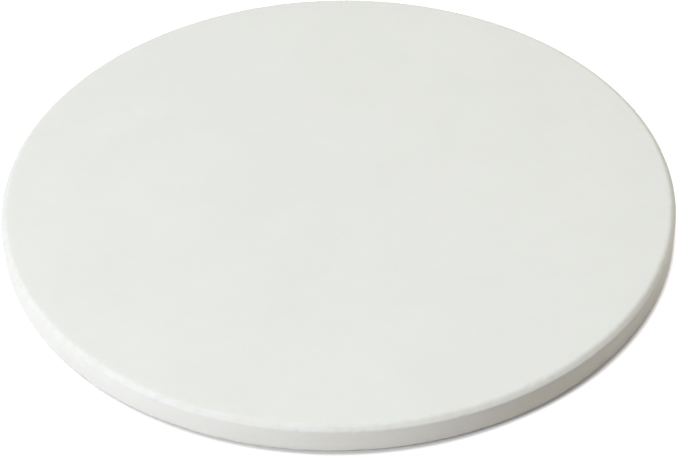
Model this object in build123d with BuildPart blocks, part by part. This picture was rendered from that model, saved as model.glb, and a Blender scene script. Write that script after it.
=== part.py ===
"""Round baking stone: one thick flat disc of pressed and fired ceramic, bevelled on both faces.

The stone is a single piece. Its baking face is flat, its wall stands upright, and a flat bevel
runs round the rim of each face: a wide one on top, where hands and dough touch it, and a narrow
one at the foot, which keeps the edge from chipping on an oven shelf. The creases beside the
bevels are rounded, as the powder leaves the die with soft edges that are wiped down before the
stone is fired. The frame has its origin at the centre of the underside, +Z up through the baking
face, and millimetres for all lengths.
"""

import os

from build123d import *

# Driving dimensions
stone_diameter = 330.0
stone_thickness = 15.0

# Bevel round the baking face: how far it runs in over the face and down the wall
face_bevel_run = 2.4
face_bevel_drop = 2.2

# Bevel round the underside: how far it runs in under the stone and up the wall
foot_bevel_run = 1.6
foot_bevel_rise = 1.5

# Radius of the crease where each bevel meets the wall, and where it meets its flat face
wall_crease_radius = 1.2
flat_crease_radius = 2.5

# Distances of the sharp corners from the axis, before the creases are rounded
wall_radius = stone_diameter / 2
face_radius = wall_radius - face_bevel_run
foot_radius = wall_radius - foot_bevel_run

# Heights of the sharp corners on the wall
wall_foot = foot_bevel_rise
wall_head = stone_thickness - face_bevel_drop

# Half of the section, from the axis out to the wall, turned once round the axis
with BuildPart() as baking_stone:
    with BuildSketch(Plane.XZ) as half_section:
        with BuildLine():
            Polyline(
                (0, 0),
                (foot_radius, 0),
                (wall_radius, wall_foot),
                (wall_radius, wall_head),
                (face_radius, stone_thickness),
                (0, stone_thickness),
                close=True,
            )
        make_face()
        # Counted outward from the axis: two corners on it, two beside the flat faces, two on the wall
        wall_corners = half_section.vertices().sort_by(Axis.X)[4:]
        fillet(wall_corners, radius=wall_crease_radius)
        flat_corners = half_section.vertices().sort_by(Axis.X)[2:4]
        fillet(flat_corners, radius=flat_crease_radius)
    revolve(axis=Axis.Z)

baking_stone.part.label = "baking_stone"

os.makedirs("parts", exist_ok=True)
export_step(baking_stone.part, "parts/baking_stone.step")

stone_volume = baking_stone.part.volume
print(f"baking stone: {baking_stone.part.bounding_box().size}, {stone_volume:.0f} cubic millimetres")
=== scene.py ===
# %% [markdown]
# A pizza stone
#
# A pizza stone is a thick, flat disc of fired ceramic. Clay and crushed, already fired cordierite
# are pressed dry in a round steel die, then fired without a glaze, so that the disc can soak up
# heat and steam. There is hardly a simpler shape, which makes it a good lesson: with no handle or
# hinge to look at, everything rests on the rim, the surface and the light.
#
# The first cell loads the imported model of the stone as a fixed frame. It gives the true size, in
# metres, with the origin at the centre of the underside and +Z up. The size could be typed in here
# as well, but then the two models would drift apart as soon as one of them changes.

import math

import bpy
from mathutils import Matrix, Vector, noise


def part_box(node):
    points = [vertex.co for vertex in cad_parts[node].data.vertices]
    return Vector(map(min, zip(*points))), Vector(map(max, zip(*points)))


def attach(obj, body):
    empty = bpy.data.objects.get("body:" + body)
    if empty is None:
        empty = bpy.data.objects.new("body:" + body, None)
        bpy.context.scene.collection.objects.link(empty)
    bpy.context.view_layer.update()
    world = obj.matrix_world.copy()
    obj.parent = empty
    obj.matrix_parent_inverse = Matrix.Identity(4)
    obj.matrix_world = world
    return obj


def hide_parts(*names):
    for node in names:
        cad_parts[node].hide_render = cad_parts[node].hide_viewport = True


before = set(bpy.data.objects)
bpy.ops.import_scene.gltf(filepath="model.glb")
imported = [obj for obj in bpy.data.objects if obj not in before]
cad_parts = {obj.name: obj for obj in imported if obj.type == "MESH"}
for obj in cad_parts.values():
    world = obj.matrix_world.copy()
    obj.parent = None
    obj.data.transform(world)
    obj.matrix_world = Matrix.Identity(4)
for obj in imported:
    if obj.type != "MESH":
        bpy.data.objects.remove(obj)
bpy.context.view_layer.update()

stone_low, stone_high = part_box("baking_stone")

MM = 0.001
thickness = stone_high.z - stone_low.z
radius = (stone_high.x - stone_low.x) / 2
print(f"frame: stone {2 * radius / MM:.1f} mm across and {thickness / MM:.1f} mm thick")

# %% [markdown]
# The camera
#
# The camera comes first, because every later choice is judged through it. It could be placed by
# eye, but a round stone makes that needless: seen at an angle, its rim is an ellipse, and how much
# flatter than a circle that ellipse is gives the angle. Here it is about 40 degrees above the table.
# The lens is long, so the far side of the disc is hardly smaller than the near side. The camera
# aims at a point on the table a little in front of the middle, and is rolled by about one degree,
# as a hand-held camera is.

# %% Place the camera
# The lens and the sensor are in millimetres, because that is what Blender's camera takes
LENS = 100.0
SENSOR_WIDTH = 36.0
CAMERA_DISTANCE = 939.4 * MM
CAMERA_ELEVATION = math.radians(39.9)
CAMERA_ROLL = math.radians(-1.1)
AIM = Vector((0.6, -15.5, 0.0)) * MM

camera_data = bpy.data.cameras.new("camera")
camera_data.lens = LENS
camera_data.sensor_width = SENSOR_WIDTH
camera = bpy.data.objects.new("camera", camera_data)
bpy.context.scene.collection.objects.link(camera)
bpy.context.scene.camera = camera

toward_camera = Vector((0, -math.cos(CAMERA_ELEVATION), math.sin(CAMERA_ELEVATION)))
camera.location = CAMERA_DISTANCE * toward_camera
toward_aim = (AIM - camera.location).to_track_quat("-Z", "Y").to_matrix()
camera.rotation_euler = (toward_aim @ Matrix.Rotation(CAMERA_ROLL, 3, "Z")).to_euler()
print(f"camera: {LENS:.0f} mm lens, {CAMERA_DISTANCE:.2f} m away")

# %% [markdown]
# The section of the rim
#
# The stone could be a cylinder with a bevel modifier, but the rim is the one place where the eye
# reads how such a stone is made: a steel punch gives each face a flat bevel, the die gives the
# wall, and the raw disc is wiped down before it is fired, which rounds the creases. The creases
# beside the flat faces are rubbed the most, so they have the larger radius. A bevel modifier can't
# say all that, so the section is drawn here as on a lathe template: straight stretches, joined by
# small arcs. All its sizes are real ones. The bevel at the foot is the narrower of the two. It only
# keeps the edge from chipping on an oven shelf, and it is what leaves a thin dark line under the
# wall.

# %% Draw the section
BEVEL_RUN = 2.4 * MM
BEVEL_HEIGHT = 2.2 * MM
FOOT_BEVEL_RUN = 1.6 * MM
FOOT_BEVEL_HEIGHT = 1.5 * MM
WALL_CREASE_RADIUS = 1.2 * MM
FLAT_CREASE_RADIUS = 2.5 * MM
ARC_STEPS = 5


def rounded_corner(before, corner, after, corner_radius):
    """Points of an arc that replaces a corner, where two straight stretches of the section meet."""
    into = (corner - before).normalized()
    out = (after - corner).normalized()
    turn = into.angle(out)
    reach = corner_radius * math.tan(turn / 2)
    inner_side = Vector((-into.y, into.x))
    centre = corner - into * reach + inner_side * corner_radius
    spoke = -inner_side * corner_radius
    points = []
    for step in range(ARC_STEPS + 1):
        turned = Matrix.Rotation(turn * step / ARC_STEPS, 2) @ spoke
        points.append(centre + turned)
    return points


def divided(start, end, parts):
    """The points between two ends of a straight stretch, without the ends."""
    return [start.lerp(end, step / parts) for step in range(1, parts)]


corners = [
    Vector((radius - FOOT_BEVEL_RUN, 0)),
    Vector((radius, FOOT_BEVEL_HEIGHT)),
    Vector((radius, thickness - BEVEL_HEIGHT)),
    Vector((radius - BEVEL_RUN, thickness)),
]
corner_radii = [FLAT_CREASE_RADIUS, WALL_CREASE_RADIUS, WALL_CREASE_RADIUS, FLAT_CREASE_RADIUS]
path = [Vector((0, 0)), *corners, Vector((0, thickness))]
arcs = [rounded_corner(*path[i:i + 3], corner_radii[i]) for i in range(len(corners))]

BEVEL_PARTS = 4
WALL_PARTS = 16
rim = [
    *arcs[0],
    *divided(arcs[0][-1], arcs[1][0], BEVEL_PARTS),
    *arcs[1],
    *divided(arcs[1][-1], arcs[2][0], WALL_PARTS),
    *arcs[2],
    *divided(arcs[2][-1], arcs[3][0], BEVEL_PARTS),
    *arcs[3],
]
print(f"section: {len(rim)} points round the rim")

# %% [markdown]
# Turning the section into a disc
#
# The section is turned about the Z axis. Blender's Screw modifier would do that too, but it gives
# every ring the same number of points. The rim needs many, so that its outline stays round in a
# close view and the small crumbs along the creases have vertices to sit on. The middle of a face
# needs hardly any, and rings with that many points would crowd into needles there. So each face
# starts with the full ring, and every few centimetres a ring has half as many points as the one
# outside it, joined by three triangles for each point of the inner ring.

# %% Turn the section
RIM_STEPS = 1440
# Distance from a face's edge to its first inner ring, which keeps the shading of the crease off it
HOLD = 0.4 * MM
# Radius of each further ring as a share of the face's, and how many times fewer points it has
FACE_RINGS_SHARES = (
    (0.97, 1),
    (0.93, 1),
    (0.86, 2),
    (0.78, 1),
    (0.68, 2),
    (0.56, 1),
    (0.44, 2),
    (0.32, 1),
    (0.2, 2),
    (0.1, 2),
)

vertices = []
faces = []


def add_ring(ring_radius, height, steps):
    """Adds one ring of vertices and returns their numbers."""
    first = len(vertices)
    for step in range(steps):
        angle = 2 * math.pi * step / steps
        x = ring_radius * math.cos(angle)
        y = ring_radius * math.sin(angle)
        vertices.append(Vector((x, y, height)))
    return list(range(first, first + steps))


def bridge(lower, upper):
    """Joins two rings with outward faces, where upper lies further along the section."""
    if len(lower) == len(upper):
        for i in range(len(lower)):
            after = (i + 1) % len(lower)
            faces.append((lower[i], lower[after], upper[after], upper[i]))
        return
    fine, coarse = (lower, upper) if len(lower) > len(upper) else (upper, lower)
    for i in range(len(coarse)):
        left, right = coarse[i], coarse[(i + 1) % len(coarse)]
        first, middle, last = (fine[(2 * i + n) % len(fine)] for n in range(3))
        fan = [(first, middle, left), (middle, right, left), (middle, last, right)]
        if fine is upper:
            fan = [tuple(reversed(triangle)) for triangle in fan]
        faces.extend(fan)


def add_face(edge_ring, edge_radius, height, facing_up):
    """Fills one flat face from its edge to the middle."""
    outer = edge_ring
    steps = len(edge_ring)
    rings_to_add = [(edge_radius - HOLD, steps)]
    for share, fewer in FACE_RINGS_SHARES:
        steps //= fewer
        rings_to_add.append((edge_radius * share, steps))
    for ring_radius, ring_steps in rings_to_add:
        inner = add_ring(ring_radius, height, ring_steps)
        if facing_up:
            bridge(outer, inner)
        else:
            bridge(inner, outer)
        outer = inner
    middle = len(vertices)
    vertices.append(Vector((0, 0, height)))
    for i in range(len(outer)):
        here, after = outer[i], outer[(i + 1) % len(outer)]
        faces.append((here, after, middle) if facing_up else (after, here, middle))


rings = [add_ring(point.x, point.y, RIM_STEPS) for point in rim]
for lower, upper in zip(rings, rings[1:]):
    bridge(lower, upper)
add_face(rings[0], rim[0].x, 0.0, facing_up=False)
add_face(rings[-1], rim[-1].x, thickness, facing_up=True)
print(f"disc: {len(vertices)} vertices, {len(faces)} faces")

# %% [markdown]
# What the press, the kiln and use leave
#
# A pressed stone is flat to the eye, but it isn't a mathematical disc. It shrinks in the kiln, so
# its faces and wall wave by a few hundredths of a millimetre over the width of a hand. The wiping
# takes a little more off the creases in one place than in another, and here and there a crumb two
# or three millimetres wide breaks out of them when the stone is pushed out of the die or set down
# hard. All these marks are real shape, so they go into the mesh and not into the material. A
# Displace modifier could make the waves, but it doesn't know where the creases are, so a function
# moves each point instead. Every move is inward, so the stone never grows past its true size.

# %% Wave the surface and wear the creases
KILN_WAVE = 0.05 * MM
KILN_WAVE_LENGTH = 70 * MM
WIPED_DEPTH = 0.12 * MM
WIPED_LENGTH = 18 * MM
CRUMB_DEPTH = 0.22 * MM
CRUMB_LENGTH = 2.8 * MM
# A crumb is missing only where its own noise, from -1 to 1, and the share wiped off, from 0 to 1,
# add up to more than this level, and to its full depth where they are over it by this much more
CRUMB_LEVEL = 0.88
CRUMB_SIDE = 0.2
CREASE_REACH = 1.5 * MM

middle_height = thickness / 2


def near_crease(point):
    """1 on a crease of the rim, falling to 0 a little way off it."""
    section_point = Vector((math.hypot(point.x, point.y), point.z))
    nearest = min((section_point - corner).length for corner in corners)
    return max(0.0, 1.0 - nearest / CREASE_REACH)


def inward(point):
    """The way from a point of the surface into the stone."""
    across = Vector((point.x, point.y, 0))
    if across.length < radius - BEVEL_RUN - FLAT_CREASE_RADIUS:
        return Vector((0, 0, 1 if point.z < middle_height else -1))
    core_of_rim = Vector((0, 0, middle_height)) + across.normalized() * (radius - middle_height)
    return (core_of_rim - point).normalized()


def smooth_share(point, length):
    """A share from 0 to 1 that changes smoothly over the surface, in bumps of about this length."""
    return max(0.0, 0.5 + 0.5 * noise.noise(point / length))


def settled(point):
    """Where a point of the ideal surface lies on the fired and used stone."""
    wave = smooth_share(point, KILN_WAVE_LENGTH)
    wiped = smooth_share(point, WIPED_LENGTH)
    # More crumbs are missing where the crease is wiped deep, so they lie in groups
    over_level = noise.noise(point / CRUMB_LENGTH) + wiped - CRUMB_LEVEL
    crumb = min(1.0, max(0.0, over_level / CRUMB_SIDE))
    worn = WIPED_DEPTH * wiped + CRUMB_DEPTH * crumb
    return point + inward(point) * (KILN_WAVE * wave + worn * near_crease(point))


shaped = [settled(point) for point in vertices]
deepest = max((after - before).length for before, after in zip(vertices, shaped))
print(f"surface: no point lies more than {deepest / MM:.2f} mm inside the ideal disc")

# %% [markdown]
# The mesh and its place in the frame
#
# The points and faces are plain lists up to here, and one call turns them into a mesh. That is the
# shortest way when every point is worked out beforehand. BMesh would be the better tool if faces
# had to be cut or merged afterwards. The faces are shaded smooth, and the creases still read as
# creases, because each has an arc of its own to turn through. The finished piece then takes the
# place of the solid in the frame and rides on the same body.

# %% Make the stone
stone_mesh = bpy.data.meshes.new("fired_stone")
stone_mesh.from_pydata(shaped, [], faces)
stone_mesh.shade_smooth()
stone = bpy.data.objects.new("fired_stone", stone_mesh)
bpy.context.scene.collection.objects.link(stone)
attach(stone, "root")
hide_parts("baking_stone")
print(f"stone: {len(stone_mesh.polygons)} faces in one piece")

# %% [markdown]
# Small helpers for materials
#
# Colours are easiest to read off a photo as sRGB hex values, and Blender's sockets want linear
# light, so one function turns the first into the second. Another adds a node together with its
# settings and its links, which keeps each material short enough to read in one go.

# %% Helpers for materials
def linear(hex_colour):
    """Turns an sRGB hex colour such as "#e8e9e4" into linear red, green, blue and alpha."""
    parts = [int(hex_colour[i:i + 2], 16) / 255 for i in (1, 3, 5)]
    return (*[p / 12.92 if p <= 0.04045 else ((p + 0.055) / 1.055) ** 2.4 for p in parts], 1.0)


def add_node(tree, kind, sockets=None, output=None, **settings):
    """Adds a node and returns one output. Sockets, by name or number, take values or outputs."""
    node = tree.nodes.new(kind)
    for name, value in settings.items():
        setattr(node, name, value)
    shown_inputs = [s for s in node.inputs if s.enabled]
    for key, value in (sockets or {}).items():
        by_number = isinstance(key, int)
        socket = shown_inputs[key] if by_number else next(s for s in shown_inputs if s.name == key)
        if isinstance(value, bpy.types.NodeSocket):
            tree.links.new(value, socket)
        else:
            socket.default_value = value
    shown = [s for s in node.outputs if s.enabled and output in (None, s.name)]
    return shown[0] if shown else None


def new_tree(owner):
    """The empty node tree of a material or a world."""
    owner.use_nodes = True
    owner.node_tree.nodes.clear()
    return owner.node_tree


print("helpers: near white", [round(part, 3) for part in linear("#e8e9e4")])

# %% [markdown]
# Fired cordierite, dry-pressed and unglazed
#
# The stone is a near-white cordierite ceramic, pressed from grains of up to half a millimetre and
# never glazed, so it is matt, a little chalky and full of open pores. To the eye that gives five
# things, from large to small: a faint cloudiness a few centimetres wide, where the powder lay
# thicker in the die, patches along the rim, where the pressed skin is rubbed off and the body under
# it is a warmer beige, a rare tan speck of iron in the clay, a fine grain, and pinholes.
#
# An image texture could hold all five, but it would need a seam at the rim, and it would blur in a
# close view. Patterns that are worked out from the place in space have neither fault. Each one's
# scale comes from its real size: object coordinates are in metres here, so a noise with features
# one millimetre wide has a scale of 1 / 0.001. All of them read the same coordinates, so the grain
# runs on over the creases as it does in the solid.

# %% Patterns in the ceramic
CLOUD_WIDTH = 38 * MM
# Real grains are 0.1 to 0.5 mm wide. A pixel covers half a millimetre, so they are drawn at 1 mm.
GRAIN_WIDTH = 1.0 * MM
SPECK_SPACING = 11 * MM
SPECK_RADIUS = 0.45 * MM
PINHOLE_SPACING = 3.6 * MM
PINHOLE_RADIUS = 0.22 * MM
# A cell has no dot where its random value is under this level
DOT_LEVEL = 0.3
# Width of a dot's soft edge as a share of the largest radius
DOT_EDGE_SHARE = 0.3
WORN_PATCH_WIDTH = 5.0 * MM
# Levels of the noise at which a rubbed patch starts and is at its strongest
PATCH_EDGE_LEVEL = 0.42
PATCH_CORE_LEVEL = 0.68
# Distances in from the wall at which the rubbed patches start and are at their strongest
WORN_START = 4.5 * MM
WORN_FULL = 2.0 * MM
# Nothing slides over the upright wall, so from here outward it is rubbed less than the bevels
WALL_START = 0.8 * MM
WALL_RUB_SHARE = 0.3

ceramic = bpy.data.materials.new("fired_cordierite_unglazed")
tree = new_tree(ceramic)
place = add_node(tree, "ShaderNodeTexCoord", output="Object")


def dots(spacing, largest):
    """Round dots of random size up to a radius, one at most in each cell: 1 inside, 0 outside."""
    cells = {"Vector": place, "Scale": 1 / spacing}
    distance = add_node(tree, "ShaderNodeTexVoronoi", cells)
    chance = add_node(tree, "ShaderNodeTexVoronoi", cells, output="Color")
    size = add_node(
        tree, "ShaderNodeMapRange",
        {
            "Value": chance, "From Min": DOT_LEVEL, "From Max": 1.0,
            "To Min": 0.0, "To Max": largest / spacing,
        },
    )
    inside = add_node(tree, "ShaderNodeMath", {0: size, 1: distance}, operation="SUBTRACT")
    return add_node(
        tree, "ShaderNodeMapRange",
        {"Value": inside, "From Min": 0.0, "From Max": DOT_EDGE_SHARE * largest / spacing},
        interpolation_type="SMOOTHSTEP",
    )


cloud = add_node(
    tree, "ShaderNodeTexNoise",
    {"Vector": place, "Scale": 1 / CLOUD_WIDTH, "Detail": 5.0, "Roughness": 0.7},
)
grain = add_node(
    tree, "ShaderNodeTexNoise", {"Vector": place, "Scale": 1 / GRAIN_WIDTH, "Detail": 3.0}
)
specks = dots(SPECK_SPACING, SPECK_RADIUS)
pinholes = dots(PINHOLE_SPACING, PINHOLE_RADIUS)

patch = add_node(
    tree, "ShaderNodeTexNoise",
    {"Vector": place, "Scale": 1 / WORN_PATCH_WIDTH, "Detail": 3.0, "Roughness": 0.6},
)
patches = add_node(
    tree, "ShaderNodeMapRange",
    {"Value": patch, "From Min": PATCH_EDGE_LEVEL, "From Max": PATCH_CORE_LEVEL},
    interpolation_type="SMOOTHSTEP",
)
flattened = add_node(
    tree, "ShaderNodeVectorMath", {0: place, 1: (1, 1, 0)}, operation="MULTIPLY"
)
from_axis = add_node(
    tree, "ShaderNodeVectorMath", {0: flattened}, operation="LENGTH", output="Value"
)
at_rim = add_node(
    tree, "ShaderNodeMapRange",
    {"Value": from_axis, "From Min": radius - WORN_START, "From Max": radius - WORN_FULL},
    interpolation_type="SMOOTHSTEP",
)
off_wall = add_node(
    tree, "ShaderNodeMapRange",
    {
        "Value": from_axis, "From Min": radius - WALL_START, "From Max": radius,
        "To Min": 1.0, "To Max": WALL_RUB_SHARE,
    },
)
rubbed_rim = add_node(tree, "ShaderNodeMath", {0: patches, 1: at_rim}, operation="MULTIPLY")
rubbed = add_node(tree, "ShaderNodeMath", {0: rubbed_rim, 1: off_wall}, operation="MULTIPLY")
print(f"patterns: clouds {CLOUD_WIDTH / MM:.0f} mm, grain {GRAIN_WIDTH / MM:.1f} mm")

# %% [markdown]
# The finish of the ceramic
#
# The two colours of the clouds differ by only about ten sRGB steps, because in the photo the face
# is almost even. Each further pattern is mixed in over the ones before it, by its own share. The
# bump gives the light some grain to catch on, which is most of what tells fired ceramic from
# painted plastic, and pushes the pinholes in. They could be real holes in the mesh, but they are
# under half a millimetre wide, so that would take millions of faces. Unglazed ceramic is rough, a
# little less so on the tops of its grains, and its IOR is that of any silicate, about 1.5.
# A pinhole's dark colour is painted shade, for the shadow inside a hole that is only a bump.

# %% Colour, roughness and bump of the ceramic
CERAMIC_IOR = 1.52
ROUGHNESS_OF_TOPS = 0.62
ROUGHNESS_OF_PORES = 0.8
# Levels of the grain noise in the pores between the grains and on the tops of the grains
PORE_LEVEL = 0.3
TOP_LEVEL = 0.7
GRAIN_HEIGHT = 0.04 * MM
PINHOLE_DEPTH = 0.15 * MM
# How much of each colour covers what lies under it, where its pattern is at its strongest
GRAIN_SHARE = 0.3
RUBBED_SHARE = 0.3
SPECK_SHARE = 0.5
# A pinhole is only a bump, so its dark colour is painted shade, for the shadow inside the hole
PINHOLE_SHADE_SHARE = 0.5

coloured = add_node(
    tree, "ShaderNodeMix",
    {"Factor": cloud, "A": linear("#e5e6e1"), "B": linear("#eff0ec")}, data_type="RGBA",
)
# A darker tone that follows the grain, the warm body under the skin, iron, and the painted
# shade inside a pore
layers = (
    (grain, GRAIN_SHARE, "#dbdbd2"),
    (rubbed, RUBBED_SHARE, "#ddd4c0"),
    (specks, SPECK_SHARE, "#c9b697"),
    (pinholes, PINHOLE_SHADE_SHARE, "#a8a294"),
)
for pattern, largest_share, colour in layers:
    share = add_node(tree, "ShaderNodeMath", {0: pattern, 1: largest_share}, operation="MULTIPLY")
    coloured = add_node(
        tree, "ShaderNodeMix",
        {"Factor": share, "A": coloured, "B": linear(colour)}, data_type="RGBA",
    )

roughness = add_node(
    tree, "ShaderNodeMapRange",
    {
        "Value": grain, "From Min": PORE_LEVEL, "From Max": TOP_LEVEL,
        "To Min": ROUGHNESS_OF_PORES, "To Max": ROUGHNESS_OF_TOPS,
    },
)
# The relief is counted in depths of a pinhole, which the bump turns back into metres
rise = add_node(
    tree, "ShaderNodeMath", {0: grain, 1: GRAIN_HEIGHT / PINHOLE_DEPTH}, operation="MULTIPLY"
)
relief = add_node(tree, "ShaderNodeMath", {0: rise, 1: pinholes}, operation="SUBTRACT")
bumped = add_node(
    tree, "ShaderNodeBump", {"Height": relief, "Distance": PINHOLE_DEPTH, "Strength": 1.0}
)

shader = add_node(
    tree, "ShaderNodeBsdfPrincipled",
    {"Base Color": coloured, "Roughness": roughness, "IOR": CERAMIC_IOR, "Normal": bumped},
)
add_node(tree, "ShaderNodeOutputMaterial", {"Surface": shader})
stone_mesh.materials.append(ceramic)
print("material:", ceramic.name)

# %% [markdown]
# The floor
#
# The product was photographed on white and cut out, so all that is left of its table is a thin grey
# line along the foot of the wall. The floor is white paper, matt and a little warm, and it throws
# light up onto the wall. To the camera, and in reflections, the paper also glows, so that it reads
# as pure white however little light falls on it. A light strong enough to do that would burn out
# the stone. The glow is painted light, and its rings paint where the shadow ends: it only starts to
# grow in the gap under the rim, and at the front right it needs three more millimetres to cover the
# paper, so the shadow along the foot stays. To the camera the bare paper is also painted a darker,
# neutral grey, a painted shade that deepens that line. In its own colour it would be a pale, warm
# strip beside the shadow, instead of one soft, grey line.

# %% Floor
FLOOR_HALF_WIDTH = 4.0
GLOW_UNDER_RIM = 0.2
GLOW_BESIDE_STONE = 1.0
# The glow changes from ring to ring. The radius of each ring is counted from that of the stone:
# where the glow starts to grow, where it covers the paper, and where it is pure white.
GLOW_START = -2.8 * MM
GLOW_BESIDE = 0.2 * MM
GLOW_FAR = 60 * MM
# These rings paint the width of the grey shadow line: they are centred a little toward the front
# right, so the line is widest there
GLOW_CENTRE = Vector((1.4, -2.25, 0.0)) * MM
# Two more rings take glow out of the gap under the rim again: most of it at the back, where it has
# grown too early for the gap to stay dark, and least at the front right. So they are centred the
# other way.
CUT_START = -1.6 * MM
CUT_END = -0.6 * MM
CUT_CENTRE = Vector((-0.4, 0.6, 0.0)) * MM

floor_mesh = bpy.data.meshes.new("floor")
signs = ((-1, -1), (1, -1), (1, 1), (-1, 1))
floor_corners = [(x * FLOOR_HALF_WIDTH, y * FLOOR_HALF_WIDTH, 0) for x, y in signs]
floor_mesh.from_pydata(floor_corners, [], [(0, 1, 2, 3)])
floor = bpy.data.objects.new("floor", floor_mesh)
bpy.context.scene.collection.objects.link(floor)

paper = bpy.data.materials.new("white_paper_sweep")
tree = new_tree(paper)


def seen_directly(tree):
    """1 for rays that show the background: from the camera, or by way of a mirror or glass."""
    total = 0.0
    for kind in ("Camera", "Glossy", "Transmission"):
        is_kind = add_node(tree, "ShaderNodeLightPath", output=f"Is {kind} Ray")
        total = add_node(tree, "ShaderNodeMath", {0: is_kind, 1: total}, operation="MAXIMUM")
    return total


def between_rings(centre, start, end, first=0.0, last=1.0):
    """A value for each point of the floor that grows smoothly from one ring to the next."""
    distance = add_node(
        tree, "ShaderNodeVectorMath", {0: floor_place, 1: centre},
        operation="DISTANCE", output="Value",
    )
    return add_node(
        tree, "ShaderNodeMapRange",
        {
            "Value": distance, "From Min": radius + start, "From Max": radius + end,
            "To Min": first, "To Max": last,
        },
        interpolation_type="SMOOTHSTEP",
    )


floor_place = add_node(tree, "ShaderNodeTexCoord", output="Object")
# The glow is painted light: it is low under the rim and paints where the shadow along the foot ends
glow_near = between_rings(
    GLOW_CENTRE, GLOW_START, GLOW_BESIDE, first=GLOW_UNDER_RIM, last=GLOW_BESIDE_STONE
)
well_away = between_rings(GLOW_CENTRE, GLOW_BESIDE, GLOW_FAR)
clear_of_rim = between_rings(CUT_CENTRE, CUT_START, CUT_END)
cut_glow = add_node(tree, "ShaderNodeMath", {0: glow_near, 1: clear_of_rim}, operation="MULTIPLY")
seen = seen_directly(tree)
shown_glow = add_node(tree, "ShaderNodeMath", {0: cut_glow, 1: seen}, operation="MULTIPLY")
glow_colour = add_node(
    tree, "ShaderNodeMix",
    {"Factor": well_away, "A": linear("#e9e7ea"), "B": linear("#ffffff")}, data_type="RGBA",
)
# To the camera the paper is painted a darker grey, a painted shade that deepens the shadow line
paper_and_painted_shade = add_node(
    tree, "ShaderNodeMix",
    {"Factor": seen, "A": linear("#eee7df"), "B": linear("#b7b7b3")}, data_type="RGBA",
)

matt = add_node(tree, "ShaderNodeBsdfDiffuse", {"Color": paper_and_painted_shade})
glow = add_node(tree, "ShaderNodeEmission", {"Color": glow_colour, "Strength": shown_glow})
both = add_node(tree, "ShaderNodeAddShader", {0: matt, 1: glow})
add_node(tree, "ShaderNodeOutputMaterial", {"Surface": both})
floor_mesh.materials.append(paper)
print("floor:", paper.name)

# %% [markdown]
# The light
#
# The stone itself tells where its light came from. Its wall and bevel are nearly white at the left,
# fall off steadily across the front and are a warm grey at the right, and the face is a trace
# brighter at the left as well. So a small, slightly cool soft box stands at the front left, about
# 35 degrees up, and makes that fall-off. A large, slightly warm one hangs high at the right rear.
# It lights the face evenly, keeps the right end of the wall from going dark, and can't reach the
# front of the wall except by way of the paper. Two lamps are enough: a third would only fill in the
# grey of the wall, which is what shows how thick the stone is.

# %% Lamps
def add_lamp(name, watts, colour, size, azimuth, elevation, distance):
    """A soft light that points at the stone. Azimuth 0 is +X, and 90 is +Y."""
    data = bpy.data.lights.new(name, "AREA")
    data.shape = "RECTANGLE"
    data.size, data.size_y = size
    data.energy = watts
    data.color = linear(colour)[:3]
    lamp = bpy.data.objects.new(name, data)
    bpy.context.scene.collection.objects.link(lamp)
    across = math.radians(azimuth)
    up = math.radians(elevation)
    toward_lamp = Vector(
        (math.cos(across) * math.cos(up), math.sin(across) * math.cos(up), math.sin(up))
    )
    lamp.location = distance * toward_lamp
    lamp.rotation_euler = (-lamp.location).to_track_quat("-Z", "Y").to_euler()
    print(f"lamp: {name}, {watts:.0f} W")


add_lamp(
    "key_softbox", watts=50.5, colour="#f1f5fe", size=(0.5, 0.3),
    azimuth=213, elevation=34.5, distance=2.45,
)
add_lamp(
    "back_softbox", watts=97.0, colour="#fffdf5", size=(1.9, 1.9),
    azimuth=45, elevation=65, distance=4.0,
)

# %% [markdown]
# The background
#
# Past the paper the picture is plain white. A world that simply shone white would do that, but it
# would also light the stone from all sides and wash out the grey of its wall. So the world is white
# only to the rays that show it, as the glow of the paper is, and it lights nothing.

# %% World
world = bpy.data.worlds.new("studio")
bpy.context.scene.world = world
tree = new_tree(world)
backdrop = add_node(
    tree, "ShaderNodeBackground", {"Color": linear("#ffffff"), "Strength": seen_directly(tree)}
)
add_node(tree, "ShaderNodeOutputWorld", {"Surface": backdrop})
print("world:", world.name)

# %% [markdown]
# Colour management
#
# Blender's default view transform squeezes bright colours together, as film does. That suits a
# sunny scene, but here nearly everything is bright, and the stone should come out in the colours
# that were written down, so the plain Standard transform is used. Every move of the surface was
# inward, so the finished model can't be larger than the solid.

# %% Finish
bpy.context.scene.view_settings.view_transform = "Standard"
